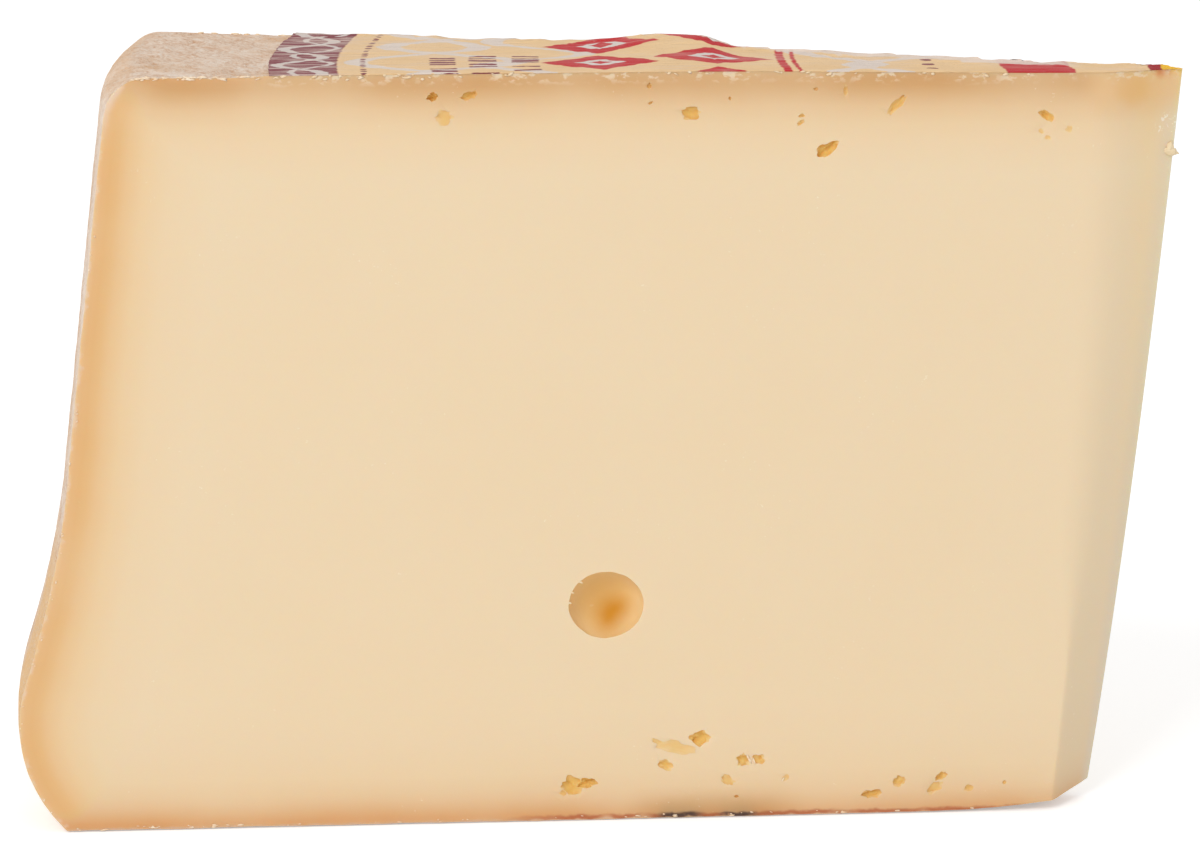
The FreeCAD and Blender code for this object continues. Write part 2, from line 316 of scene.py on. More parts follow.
def new_paste(name, roughness, specular):
    """A material of paste, into which light goes a little way before it comes out again."""
    material, tree, shader = new_material(name, roughness, specular)
    shader.inputs["Subsurface Weight"].default_value = 0.3
    shader.inputs["Subsurface Radius"].default_value = (1, 0.55, 0.25)
    shader.inputs["Subsurface Scale"].default_value = 0.0015
    place = object_place(tree)
    return material, tree, shader, place, use_effect(paste_under_rind, place).outputs["Color"]


# Grey mould on the lowest edge: middle along the front cut, half width and height.
mould_stains = ((9.6, 2.3, 1), (16.6, 1.9, 0.92))


def cut_paste():
    """The cut faces: smooth and slightly moist, with faint drag lines of the wire."""
    material, tree, shader, place, colour = new_paste("cut paste", 0.5, 0.3)

    # Along the blunt nose's thin far edge a paler colour is painted: painted light showing through the thin
    # paste.
    turned = place_node(tree, "NewGeometry").outputs["Normal"]
    thin = fade(behind(place, back_cut, back_out), 2.2, 0.1)
    facet = times(fade(component(turned, "X"), 0.15, 0.3), fade(component(turned, "Y"), 0.3, 0))
    colour = wash(colour, times(facet, thin), 0.75, (226, 212, 190))

    # Pale specks, scarce and in patches.
    specks = fade(grain(place, 0.45, 1), 0.73, 0.79)
    scarce = fade(grain(place, 9), 0.55, 0.68)
    colour = wash(colour, times(specks, scarce), 0.5, (250, 238, 215))

    # Under the label's tip the nose is paler than the rest, but for one orange spot.
    depths = place_node(tree, "Attribute", attribute_name="under_rind").outputs["Vector"]
    under = component(depths, "Y")
    along = minus(component(place, "X"), on_front(eye_reach, 0).x / MM)
    tip = times(fade(along, 55.5, 59.5), fade(under, 6.5, 2))
    colour = wash(colour, tip, 0.8, (234, 196, 146))
    away = squares(minus(along, 62.5), minus(under, 2.2))
    away = plus(away, times(grain(place, 2.5), 5))
    colour = wash(colour, fade(away, 10, 1), 0.5, (229, 178, 106))

    # The nose has dried to a deeper yellow than the front cut, and white specks sit on it.
    colour = paint(fade(along, 61, 65), colour, linear(255, 254, 246), "MULTIPLY")
    away = squares(minus(along, 66.9), minus(under, 6.6))
    specks = times(fade(away, 2.6, 1.2), fade(grain(place, 0.4), 0.55, 0.62))
    colour = wash(colour, specks, 0.75, (246, 236, 216))

    # Just under the label's tip the print has bled into the paste.
    bled = plus(under, times(grain(place, 1.5), 1.6))
    bled = times(fade(bled, 2.2, 0.8), fade(along, 64.6, 66))
    ink = paint(fade(along, 66.8, 67.6), linear(214, 118, 58), linear(240, 190, 84))
    colour = paint(times(bled, 0.75), colour, ink)

    # Soaked paper fibres lie smeared on the cut just under the label.
    smear = fade(grain(stretched(place, (0.6, 1, 1)), 0.75, 3, 0.6), 0.5, 0.62)
    smear = times(smear, fade(under, 1.7, 0.25), fade(along, -39, -37))
    patches = fade(grain(place, 6), 0.35, 0.55)
    colour = wash(colour, times(smear, patches), 0.75, (240, 218, 188))

    # The lowest edge: the rind's pale skin, over it a red-brown line that comes and goes, and two
    # stains of grey mould.
    wander = times(minus(grain(place, 2, 3), 0.5), 0.9)
    low = plus(component(place, "Z"), wander)
    colour = wash(colour, fade(low, 0.5, 0.2), 0.75, (222, 182, 152))
    above_skin = fade(low, 0.1, 0.35)
    reach = times(fade(along, -14, -3), fade(along, 58, 46))
    patchy = fade(grain(place, 4), 0.2, 0.5)
    line = times(fade(low, 0.9, 0.5), times(reach, patchy), above_skin)
    colour = wash(colour, line, 0.85, (184, 102, 64))
    damp = times(fade(along, 2, 9), fade(along, 26, 17), fade(low, 4.5, 0.5))
    colour = wash(colour, damp, 0.85, (232, 226, 214), "MULTIPLY")
    for middle, half, height in mould_stains:
        side = fade(apart(along, middle), half + 1, half - 1)
        haze = times(side, fade(low, height * 2.6, 0.3))
        colour = wash(colour, haze, 0.42, (178, 160, 122))
        lumpy = fade(grain(place, 1, 3), 0.3, 0.45)
        core = times(side, fade(low, height, height * 0.6), lumpy, above_skin)
        colour = wash(colour, core, 0.9, (70, 54, 50))

    # The wire's drag runs along the cut in long faint lines.
    lines = grain(stretched(place, (0.04, 0.04, 1)), 0.8, 3)
    pores = grain(place, 0.6, 4, 0.6)
    height = plus(times(lines, 0.5), times(pores, 0.5))
    surface(shader, colour, height, 0.25, 0.00012)
    tree.links.new(plus(times(pores, 0.16), 0.42), shader.inputs["Roughness"])
    return material


large_eye = on_front(eye_reach - 0.75, 26.6)


def eye_wall():
    """The skin of a gas hole: smooth and moist, with painted shade of light bounced inside the hole that
    turns it deeper yellow the further it lies behind the cut.
    """
    material, tree, shader, place, colour = new_paste("eye wall", 0.6, 0.2)
    colour = paint(0.45, colour, linear(*paste_colour))
    depth = place_node(tree, "Attribute", attribute_name="behind_cut").outputs["Fac"]
    # Painted shade: the walls of small and large eyes darken to deeper yellow with their depth behind the
    # cut, for light bounced and scattered inside the holes.
    share = calc("DIVIDE", depth, 5)
    small = ramp(share, (0, 255, 250, 234), (0.02, 254, 238, 196), (0.07, 253, 229, 158),
                 (0.2, 250, 214, 124))
    deep = ramp(share, (0, 255, 245, 224), (0.05, 255, 240, 212), (0.4, 255, 237, 199),
                (0.7, 255, 228, 168))

    # In the large eye painted shade makes it deepest in colour on its right, and a painted highlight makes
    # its lower right lip palest, where the light falls into the bowl. A crumb lies on its floor.
    from_eye = vector_calc("SUBTRACT", place, tuple(large_eye / MM))
    heart = away_from(from_eye, (1.4, 0, -2), (1, 0, 1.1))
    deep = paint(fade(heart, 3.8, 0.5), deep, linear(226, 172, 52))
    # Painted highlight on the lower right lip, the side of the bowl the light falls on.
    lit_lip = vector_calc("DOT_PRODUCT", from_eye, (0.75, 0, -0.66), result="Value")
    deep = wash(deep, fade(lit_lip, 1.6, 4.4), 0.8, (255, 247, 222))
    near = fade(vector_calc("LENGTH", from_eye, result="Value"), 7, 6.5)
    colour = paint(1, colour, paint(near, small, deep), "MULTIPLY")
    crumb = away_from(from_eye, (-1.5, 0, -0.8), (1, 0, 1.9))
    colour = wash(colour, fade(crumb, 0.35, 0.15), 0.6, (240, 206, 150))
    surface(shader, colour, grain(place, 0.5, 3), 0.3, 0.0001)
    return material


def mealy_effect():
    """Dry skin, brushed round the wheel: lumps, fibres and specks, each as a mask, and their height."""
    outputs = dict.fromkeys(("Lumps", "Fibres", "Specks", "Height"), "Float")
    group, place, made = new_effect("mealy skin", **outputs)
    brushing = {"Vector": place, "Rotation": (0, 0, math.radians(-17))}
    slant = place_node(group, "Mapping", brushing).outputs["Vector"]
    bend = place_node(group, "TexNoise", {"Vector": place, "Scale": 0.25}).outputs["Color"]
    slant = vector_calc("ADD", slant, stretched(bend, (3, 3, 3)))
    fine = grain(stretched(slant, (1, 0.22, 1)), 0.45, 5, 0.7)
    broad = grain(stretched(slant, (1, 0.3, 1)), 2.6, 3)
    lumps = plus(times(fine, 0.7), times(broad, 0.3))
    fibres = fade(grain(stretched(slant, (1, 0.08, 1)), 0.22, 3, 0.6), 0.5, 0.66)
    specks = fade(grain(stretched(place, (1, 0.5, 1)), 0.4, 1), 0.71, 0.79)
    height = plus(lumps, times(fibres, 0.35))
    for name, value in zip(outputs, (lumps, fibres, specks, height)):
        group.links.new(value, made.inputs[name])
    return group


mealy_skin = mealy_effect()


def rind():
    """The rind: a thin dry skin, pale pinkish tan and mealy, with brown smears."""
    material, tree, shader = new_material("rind", 0.85, 0.2)
    place = object_place(tree)
    skin = use_effect(mealy_skin, place)
    colour = ramp(skin.outputs["Lumps"], (0.36, 206, 159, 124), (0.44, 224, 190, 162),
                  (0.52, 236, 211, 189), (0.62, 244, 228, 213))
    smear = fade(grain(place, 12, 4, 0.6), 0.46, 0.72)
    colour = wash(colour, smear, 0.55, (214, 168, 118))
    facing = component(place_node(tree, "NewGeometry").outputs["Normal"], "Z")

    # The skin is orange-brown toward the back cut, browner round the shoulder, pale and dry by the
    # upper front cut, smooth and yellow by the lower one, and darkest on the underside.
    back_edge = times(fade(behind(place, back_cut, back_out), 9, 0), fade(smear, -0.3, 0.6))
    colour = wash(colour, back_edge, 0.55, (222, 168, 120))
    tilted = times(fade(facing, 0.25, 0.6), fade(facing, 0.995, 0.93))
    colour = wash(colour, tilted, 0.35, (232, 190, 148))
    from_front = behind(place, front_cut, front_out)
    level = component(place, "Z")
    upright = fade(facing, 0.7, 0.3)
    dry_lip = times(fade(from_front, 9, 1), fade(level, 34, 50), upright)
    colour = wash(colour, dry_lip, 0.6, (246, 230, 214))
    bare = times(fade(from_front, 15, 9), fade(level, 38, 29), upright)
    colour = wash(colour, bare, 0.9, (237, 194, 140))
    colour = wash(colour, fade(facing, -0.35, -0.9), 0.6, (205, 158, 118))
    colour = wash(colour, skin.outputs["Fibres"], 0.45, (242, 229, 213))
    colour = wash(colour, skin.outputs["Specks"], 0.55, (158, 108, 68))
    surface(shader, colour, skin.outputs["Height"], 0.6, 0.0004)
    return material


paste_material = cut_paste()
rind_material = rind()
eye_material = eye_wall()


# --- The wedge's form

def arc_points(centre, radius, start, end, step):
    """Points along an arc, from one angle to the other in degrees, both ends included."""
    count = max(2, round(abs(math.radians(end - start)) * radius / step))
    points = []
    for index in range(count + 1):
        turn = math.radians(start + (end - start) * index / count)
        points.append((centre[0] + radius * math.cos(turn), centre[1] + radius * math.sin(turn)))
    return points


def line_points(start, end, step):
    """Points along a straight line, both ends included."""
    count = max(1, round(math.dist(start, end) / step))
    return [
        (start[0] + (end[0] - start[0]) * i / count, start[1] + (end[1] - start[1]) * i / count)
        for i in range(count + 1)
    ]


foot_round = 18
foot_middle = (wheel_radius - foot_round, 12.8)
waist_round = 120
wall_lean = math.radians(6.8)
shoulder_round = 5
shoulder_middle = (wheel_radius - 11.4 - shoulder_round, wheel_height - shoulder_round)
dish_start = 85
dish_round = 120
dish_depth = 3
inner_radius = 40


def heel_outline(step):
    """The heel's side of the wheel's half section as (radius, height): bulging foot, hollow
    waist, leaning wall and rounded shoulder."""
    rise, run = math.sin(wall_lean), math.cos(wall_lean)
    wall_top = (shoulder_middle[0] + shoulder_round * run, shoulder_middle[1] + shoulder_round * rise)

    # The waist's round touches the line of the wall and the foot's round, both from outside.
    base = (wall_top[0] + waist_round * run, wall_top[1] + waist_round * rise)
    away = (base[0] - foot_middle[0], base[1] - foot_middle[1])
    half = away[0] * rise - away[1] * run
    gap = away[0] ** 2 + away[1] ** 2 - (foot_round + waist_round) ** 2
    slide = -half - math.sqrt(half * half - gap)
    waist = (base[0] + slide * rise, base[1] - slide * run)
    meet = math.degrees(math.atan2(waist[1] - foot_middle[1], waist[0] - foot_middle[0]))

    lean = math.degrees(wall_lean)
    foot_start = math.degrees(math.asin(-foot_middle[1] / foot_round))
    points = arc_points(foot_middle, foot_round, foot_start, meet, step)
    points += arc_points(waist, waist_round, 180 + meet, 180 + lean, step)[1:]
    points += line_points(points[-1], wall_top, step)[1:]
    return points + arc_points(shoulder_middle, shoulder_round, lean, 90, step)[1:]


def wheel_outline():
    """The closed half section, with the hollow underside before the heel and the top after it."""
    heel = heel_outline(0.6)
    dish_turn = math.degrees(math.acos(1 - dish_depth / dish_round))
    dish_edge = dish_start - dish_round * math.sin(math.radians(dish_turn))
    points = line_points((inner_radius, dish_depth), (dish_edge, dish_depth), 3)
    points += arc_points((dish_start, dish_round), dish_round, 270 - dish_turn, 270, 1.5)
    points += line_points((dish_start, 0), heel[0], 1.2)
    points += heel[1:]
    points += line_points(heel[-1], (label_radius, wheel_height), 0.6)[1:]
    return points + line_points((label_radius, wheel_height), (inner_radius, wheel_height), 1.5)[1:]


def sag(place):
    """How far the top has sunk, in metres: a little, more and more toward the nose."""
    along = (place.x - axis.x) / MM + eye_reach
    return 0.6 * MM * eased(along, 8, 60) * eased(place.z / MM, wheel_height - 35, wheel_height)


def rind_hollow(place):
    """How far the mealy skin lies inside the wheel's smooth form, in metres."""
    radius = math.hypot(place.x - label_middle.x, place.y - label_middle.y) / MM
    covered = place.z > (wheel_height - 1) * MM
    open_share = eased(radius, label_radius, label_radius + 1.5) if covered else 1
    place = Vector((place.x, place.y * 0.35, place.z))
    lumps = 0
    for seed, (depth, size) in enumerate(((0.07, 9), (0.06, 3), (0.05, 1.3)), start=1):
        lumps += depth * (1 + ripple(place, size, seed))
    return lumps * MM * open_share


def new_object(name, data):
    """A new object, put into the scene."""
    made = bpy.data.objects.new(name, data)
    bpy.context.scene.collection.objects.link(made)
    return made


def mesh_object(name, bm, *materials):
    """A new object from a bmesh, which is used up."""
    mesh = bpy.data.meshes.new(name)
    bm.to_mesh(mesh)
    bm.free()
    for material in materials:
        mesh.materials.append(material)
    return new_object(name, mesh)


def carve(piece, cutter, overlapping=False):
    """Take a cutter out of a piece; the faces of the hole keep the cutter's material."""
    change = piece.modifiers.new("carve", "BOOLEAN")
    change.solver = "EXACT"
    change.use_self = overlapping
    change.material_mode = "TRANSFER"
    change.object = cutter
    bpy.context.view_layer.update()
    view = bpy.context.evaluated_depsgraph_get()
    carved = bpy.data.meshes.new_from_object(piece.evaluated_get(view))
    piece.modifiers.remove(change)
    uncarved = piece.data
    piece.data = carved
    bpy.data.meshes.remove(uncarved)
    bpy.data.objects.remove(cutter)


def pull_wire(bm, place, outward):
    """Take away what lies outward of a plane; returns the edges where it cut."""
    geom = bm.verts[:] + bm.edges[:] + bm.faces[:]
    cut = bmesh.ops.bisect_plane(
        bm, geom=geom, dist=same_place, plane_co=place, plane_no=outward, clear_outer=True)
    return [item for item in cut["geom_cut"] if isinstance(item, bmesh.types.BMEdge)]


def spin_section(bm, middle, section, closed, turn, steps):
    """Spin a line of (radius, height) points through a turn in degrees, from beyond the back cut."""
    spoke = Vector((math.cos(sweep_start), math.sin(sweep_start), 0))
    corners = []
    for radius, level in section:
        corners.append(bm.verts.new(middle + spoke * radius * MM + Vector((0, 0, level * MM))))
    ends = corners[1:] + corners[:1] if closed else corners[1:]
    geom = corners + [bm.edges.new(pair) for pair in zip(corners, ends)]
    bmesh.ops.spin(bm, geom=geom, cent=middle, axis=upward, angle=math.radians(turn), steps=steps)
    bmesh.ops.remove_doubles(bm, verts=bm.verts[:], dist=same_place)


def wheel_wedge():
    """The wheel's outline spun over the wedge's turn, its skin roughened, then cut in front and behind."""
    bm = bmesh.new()
    spin_section(bm, axis, wheel_outline(), closed=True, turn=-39, steps=186)
    for face in bm.faces:
        face.material_index = 1
    bm.normal_update()

    # The spin leaves every face turned the same way, in or out, so the hollows go against that.
    inward = {vert: vert.normal * -rind_hollow(vert.co) for vert in bm.verts}
    facing_in = sum(vert.normal.z for vert in bm.verts if vert.co.z > (wheel_height - 0.1) * MM) < 0
    for vert, move in inward.items():
        vert.co += -move if facing_in else move
        vert.co.z -= sag(vert.co)
    for place, outward in ((front_cut, front_out), (back_cut, back_out)):
        rim = pull_wire(bm, place, outward)
        for face in bmesh.ops.contextual_create(bm, geom=rim)["faces"]:
            face.material_index = 0
    bmesh.ops.recalc_face_normals(bm, faces=bm.faces[:])
    return mesh_object("cheese_wedge", bm, paste_material, rind_material)


nose_levels = (-1, wheel_height / 2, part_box("label")[1].z / MM + 1)
nose_reach = (67.7, 64.3, 62.7)
nose_turn = (49, 31, 16.6)


def along_nose(values, level):
    """A smooth value at any height, given below the underside, at half height and over the top."""
    total = 0
    for value, here in zip(values, nose_levels):
        for other in nose_levels:
            if other != here:
                value *= (level - other) / (here - other)
        total += value
    return total


def nose_depth(run, level):
    """How far the nose lies behind the front cut's plane, at a distance past its edge, in metres. The
    edge is worn round from the top down to the lowest quarter."""
    slope = math.tan(math.radians(along_nose(nose_turn, level)))
    worn = (0.25 + 2 * eased(level, 16, 36)) * MM
    begun = run - face_set_in * MM / slope + worn
    if begun < 0:
        return face_set_in * MM + 0.03 * begun
    if begun < 2 * worn:
        return face_set_in * MM + begun ** 2 / (4 * worn) * slope
    return run * slope


def nose_block():
    """What the third cut takes off: a block whose inner face is the nose."""
    bm = bmesh.new()
    bmesh.ops.create_cube(bm, size=1)
    bmesh.ops.scale(bm, vec=(40 * MM, 30 * MM, (wheel_height + 4) * MM), verts=bm.verts[:])
    bmesh.ops.translate(bm, vec=(10 * MM, -15 * MM, wheel_height / 2 * MM), verts=bm.verts[:])
    for run, cuts in ((upward, 47), (Vector((1, 0, 0)), 39)):
        edges = [e for e in bm.edges if abs((e.verts[0].co - e.verts[1].co).normalized().dot(run)) > 0.99]
        bmesh.ops.subdivide_edges(bm, edges=edges, cuts=cuts, use_grid_fill=True)
    for vert in bm.verts:
        level = vert.co.z / MM
        turn = math.radians(along_nose(nose_turn, level))
        across = vert.co.x * abs(vert.co.x) / (abs(vert.co.x) + 3 * MM)
        flat = Matrix.Rotation(turn, 3, "Z") @ Vector((across, vert.co.y, 0))
        if vert.co.y > -0.1 * MM:
            flat.y = nose_depth(flat.x, level)
        vert.co = flat + on_front(along_nose(nose_reach, level), level)
    bmesh.ops.recalc_face_normals(bm, faces=bm.faces[:])
    return mesh_object("nose_block", bm, paste_material)


def cut_faces(bm, outward):
    """The faces that lie in one of the wire's cuts."""
    return [face for face in bm.faces if face.material_index == 0 and face.normal.dot(outward) > 0.9999]


def grid_cut(bm, outward, across, spacing):
    """Divide a cut face into small cells, so that it can wave and its colours have somewhere to sit."""
    for direction, start, end in ((across, -0.12, 0.12), (upward, 0, 0.0915)):
        count = round((end - start) / (spacing * MM))
        for index in range(count + 1):
            faces = cut_faces(bm, outward)
            parts = {v for f in faces for v in f.verts} | {e for f in faces for e in f.edges} | set(faces)
            offset = start + (end - start) * (index + 0.37) / count
            bmesh.ops.bisect_plane(
                bm, geom=list(parts), dist=1e-6, plane_co=direction * offset, plane_no=direction)


def wave_cut(bm, outward):
    """The wire never runs quite true: the middle of a cut wanders by less than a tenth of a millimetre."""
    faces = set(cut_faces(bm, outward))
    for vert in {v for f in faces for v in f.verts}:
        if all(face in faces for face in vert.link_faces):
            vert.co += outward * 0.07 * MM * (ripple(vert.co, 24, 4) + 0.4 * ripple(vert.co, 7, 5))


# The eyes in the front cut: along it from above the large eye's left, up, width, height,
# depth, tilt in degrees. The first is the large round one.
front_eyes = (
    (0.75, 26.6, 8.9, 8.1, 3.2, 0),
    (-19.3, 87.3, 1.5, 1, 1.2, 10), (-15.1, 87.5, 2.1, 1.1, 0.8, 15), (-18, 85, 2.1, 1.6, 0.35, -10),
    (5.7, 88.4, 0.6, 0.8, 0.5, 0), (5.9, 86.4, 0.6, 0.4, 0.4, 30), (10.6, 85.1, 2.1, 1.9, 0.9, 8),
    (15.1, 86.8, 0.4, 0.4, 0.4, 0), (23.5, 84.7, 0.8, 0.5, 0.4, 10), (23.4, 83.9, 1, 0.6, 0.4, 30),
    (26.5, 80.8, 2.6, 1.6, 1.5, 30), (34.7, 85.9, 3, 0.9, 0.6, 47), (52.2, 84.4, 2, 1.1, 0.9, -35),
    (51.6, 82.6, 0.9, 0.6, 0.2, -50), (52.4, 81.8, 0.8, 0.6, 0.2, 0), (54.9, 82.8, 1, 0.8, 0.2, 0),
    (28.6, 87.6, 0.6, 1.3, 0.4, 0), (25.1, 87.8, 0.6, 0.5, 0.4, 0),
    (-3.4, 4.4, 2.6, 2.3, 0.9, 20), (-1.4, 4.7, 2.4, 1.4, 1.3, 12), (-4.4, 3.5, 1, 0.7, 0.4, -20),
    (11.9, 9.9, 2.2, 1.7, 1.2, 5), (8.9, 8.9, 4.4, 1.5, 0.24, -12), (6.9, 9.6, 1.4, 0.7, 0.3, -25),
    (7.8, 6.7, 2, 1.3, 0.7, -20), (17.2, 7.1, 1.7, 1.7, 0.8, 60), (19, 7.2, 1.7, 1.3, 0.7, -30),
    (15.3, 4.7, 1.9, 1.1, 0.4, -35), (16.4, 2.6, 0.6, 0.4, 0.6, 0), (22.3, 4.8, 1.1, 0.8, 0.2, 30),
    (32.7, 2.6, 2.4, 1.2, 0.9, 10), (36, 4.1, 1.7, 1.4, 0.6, 20), (41.1, 4.6, 1.6, 0.9, 0.7, 30),
    (40.3, 3.2, 2.3, 1.2, 0.4, 35), (44.5, 3, 1.2, 0.9, 0.5, 10), (48.8, 3.6, 0.5, 0.6, 0.4, 0),
)

# A few more lie open in the back cut, as the front one shows them: along it from the nose,
# up, width, height, depth, tilt.
back_eyes = (
    (52, 58, 6.4, 5.8, 3.6, 0), (96, 30, 4.2, 3.9, 2.4, 0), (30, 84.8, 1.9, 1.3, 0.8, 20),
    (64, 85.5, 1.4, 1, 0.6, 0), (69, 83, 2.3, 1.3, 0.9, -25), (101, 84, 1.7, 1.3, 0.7, 10),
    (44, 5.2, 2.2, 1.6, 0.9, 15), (48.5, 7.4, 1.3, 1, 0.5, 0), (78, 6, 3, 1.8, 1, -10),
    (83, 3.9, 1.4, 1, 0.6, 30), (112, 7, 1.8, 1.4, 0.8, 0), (22, 6.4, 1.6, 1.1, 0.6, 0),
    (9.6, 78.1, 0.9, 1.9, 0.5, 0),
)
back_along = Vector((-math.cos(wedge_angle), math.sin(wedge_angle), 0))


def eye_cutter(middle, outward, along, width, height, depth, tilt, seed):
    """One gas hole: a lumpy ball flattened to its mouth and depth, its middle in the cut."""
    bm = bmesh.new()
    large = width > 3.5 and depth > 1
    fineness = 2 + sum((width > 1.2, large, width > 7))
    bmesh.ops.create_icosphere(bm, subdivisions=fineness, radius=1)
    lumpiness, lump = (0.022, 0.55) if large else (0.5, 0.62)
    depth *= 1 if large else 0.5
    frame_turn = Matrix((along, outward, upward)).transposed()
    for vert in bm.verts:
        spot = vert.co.copy()
        bulge = noise.noise(spot / lump + Vector((seed * 5.1, seed * 2.3, 0)))
        fine = noise.noise(spot / (lump * 0.35) + Vector((seed * 1.7, 0, seed)))
        spot *= 1 + lumpiness * (bulge + 0.45 * fine)
        spot = Vector((spot.x * width / 2, spot.y * depth, spot.z * height / 2)) * MM
        vert.co = middle + frame_turn @ (Matrix.Rotation(math.radians(-tilt), 3, "Y") @ spot)
    return bm


def join_into(target, source):
    """Add one bmesh's contents to another and free it."""
    mesh = bpy.data.meshes.new("part")
    source.to_mesh(mesh)
    source.free()
    target.from_mesh(mesh)
    bpy.data.meshes.remove(mesh)


def eye_cutters():
    """All the eyes of both cuts as one cutter."""
    together = bmesh.new()
    for number, (along, level, *shape) in enumerate(front_eyes, start=1):
        middle = on_front(eye_reach - along, level, face_set_in)
        join_into(together, eye_cutter(middle, front_out, Vector((1, 0, 0)), *shape, number))
    for number, (along, level, *shape) in enumerate(back_eyes, start=101):
        middle = back_cut + back_along * along * MM + Vector((0, 0, level * MM))
        join_into(together, eye_cutter(middle, back_out, -back_along, *shape, number))
    bmesh.ops.recalc_face_normals(together, faces=together.faces[:])
    return mesh_object("eyes", together, eye_material)


def record_depths(mesh):
    """Keep how deep each corner lies under heel, top and underside, and behind the nearer cut."""
    heel = [point for point in heel_outline(0.12) if point[1] < wheel_height - 1.2]
    skin = kdtree.KDTree(len(heel))
    for index, (radius, level) in enumerate(heel):
        skin.insert((radius, level, 0), index)
    skin.balance()
    under_rind = []
    behind_cut = []
    for vert in mesh.vertices:
        place = vert.co
        radius = math.hypot(place.x - axis.x, place.y - axis.y) / MM
        level = place.z / MM
        top = max(0.0, wheel_height - sag(place) / MM - level)
        under_rind += (skin.find((radius, level, 0))[2], top, max(0.0, level))
        nearer = min((place - front_cut).dot(-front_out), (place - back_cut).dot(-back_out))
        behind_cut.append(max(0.0, nearer / MM))
    mesh.attributes.new("under_rind", "FLOAT_VECTOR", "POINT").data.foreach_set("vector", under_rind)
    mesh.attributes.new("behind_cut", "FLOAT", "POINT").data.foreach_set("value", behind_cut)


cheese = wheel_wedge()
carve(cheese, nose_block())

work = bmesh.new()
work.from_mesh(cheese.data)
work.normal_update()
for outward, across in ((front_out, Vector((1, 0, 0))), (back_out, back_along)):
    grid_cut(work, outward, across, 1.6)
    work.normal_update()
    wave_cut(work, outward)
work.to_mesh(cheese.data)
work.free()

carve(cheese, eye_cutters(), overlapping=True)
tidied = bmesh.new()
tidied.from_mesh(cheese.data)
bmesh.ops.remove_doubles(tidied, verts=tidied.verts[:], dist=3e-6)
bmesh.ops.dissolve_degenerate(tidied, dist=1e-6, edges=tidied.edges[:])
tidied.to_mesh(cheese.data)
tidied.free()
record_depths(cheese.data)
cheese.data.shade_smooth()
cheese.data.set_sharp_from_angle(angle=math.radians(38))
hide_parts("cheese")
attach(cheese, "root")

# ----------------------------------------------------------
# The paper label: a round sheet pasted on the wheel before it was cut, so that the
# wire went through it too. It is soaked and wrinkled, one crease has lifted, and its
# edge along the back cut is scuffed white. Its print is a plain ornament in rings.

paper_thickness = 0.12
paper_seat = -0.02
crease_reach = 109.5
crease_rise = 15
crease_fall = 6
crease_height = 1.42
highest_lift = 1.47
paper_overhang = 0.06


def paper_lift(place):
    """Height of the paper over the wheel's top, in millimetres: the crease, long folds and wrinkles."""
    offset = crease_reach + (place.x - axis.x) / MM + 0.8 * ripple(place, 8, 11)
    depth = (crease_reach - apex_reach) * math.tan(wedge_angle)
    share = min(1, max(0, (place.y - cheese_low.y) / MM / depth))
    if offset < 0:
        crest = eased(offset, -crease_rise, 0.8)
    else:
        crest = 1 - eased(offset, 0.4, crease_fall)
    crease = min(highest_lift, crease_height * share ** 1.3 * crest * (1 + 0.1 * ripple(place, 2.5, 12)))

    # Folds run mostly along the wedge; near the back cut the sheet is looser.
    along = Vector((place.x * 0.35, place.y * 1.6, 0))
    loose = 0.35 + 0.65 * eased((back_cut - place).dot(back_out) / MM, 7, 0)
    nose_start = on_front(along_nose(nose_reach, wheel_height), 0)
    worn_back = max(0, nose_depth(place.x - nose_start.x, wheel_height))
    inset = eased((place.y - cheese_low.y - worn_back) / MM, 0, 1.5)
    folds = 0.3 * loose * max(0, 1 - abs(ripple(along, 3.2, 13)) * 2.4)
    fine = 0.08 * (1 + ripple(Vector((place.x * 0.6, place.y, 0)), 1.4, 14)) * (0.5 + 0.5 * loose)
    return crease + min(highest_lift - crease, (folds + fine) * inset)


def paper_sheet():
    """A fan of the round sheet, cut like the cheese below it."""
    bm = bmesh.new()
    section = line_points((50, wheel_height), (label_radius, wheel_height), 0.62)
    spin_section(bm, label_middle, section, closed=False, turn=-41, steps=178)
    pulls = [
        (on_front(apex_reach, 0, face_set_in - paper_overhang), front_out),
        (back_cut - back_out * 0.05 * MM, back_out),
    ]

    # Round the nose the sheet follows the worn edge below it in a few short straight cuts.
    nose_start = on_front(along_nose(nose_reach, wheel_height), 0, -paper_overhang)
    for run in (-1.2, -0.5, 0.3, 1.1, 1.9, 3, 6):
        near, far = nose_depth((run - 0.1) * MM, wheel_height), nose_depth((run + 0.1) * MM, wheel_height)
        turn = math.atan2(far - near, 0.2 * MM)
        spot = nose_start + Vector((run * MM, (near + far) / 2, 0))
        pulls.append((spot, Vector((math.sin(turn), -math.cos(turn), 0))))
    for place, outward in pulls:
        pull_wire(bm, place, outward)

    # The round rim is slightly rough, and the edge on the back cut is torn.
    for vert in bm.verts:
        spoke = (vert.co - label_middle).to_2d().to_3d()
        radius = spoke.length / MM
        if radius > label_radius - 0.3:
            vert.co -= spoke.normalized() * 0.18 * MM * (1 + ripple(vert.co, 1.4, 15))
        from_back = (back_cut - vert.co).dot(back_out) / MM
        if from_back < 0.1:
            tear = 0.5 if radius < 108 else 0.15
            vert.co -= back_out * tear * MM * (1 + ripple(vert.co, 2.2, 16))
        vert.co.z += (paper_lift(vert.co) + paper_seat + paper_thickness) * MM - sag(vert.co)
    bm.normal_update()
    bmesh.ops.reverse_faces(bm, faces=[face for face in bm.faces if face.normal.z < 0])
    sheet = mesh_object("paper_label", bm, printed_paper())
    thick = sheet.modifiers.new("thickness", "SOLIDIFY")
    thick.thickness = paper_thickness * MM
    thick.offset = -1
    return sheet


def ring(radius, inner, outer, soft=0.15):
    """A mask for one printed ring, from its inner to its outer radius in millimetres."""
    rise = fade(radius, inner - soft, inner + soft)
    return times(rise, fade(radius, outer + soft, outer - soft))


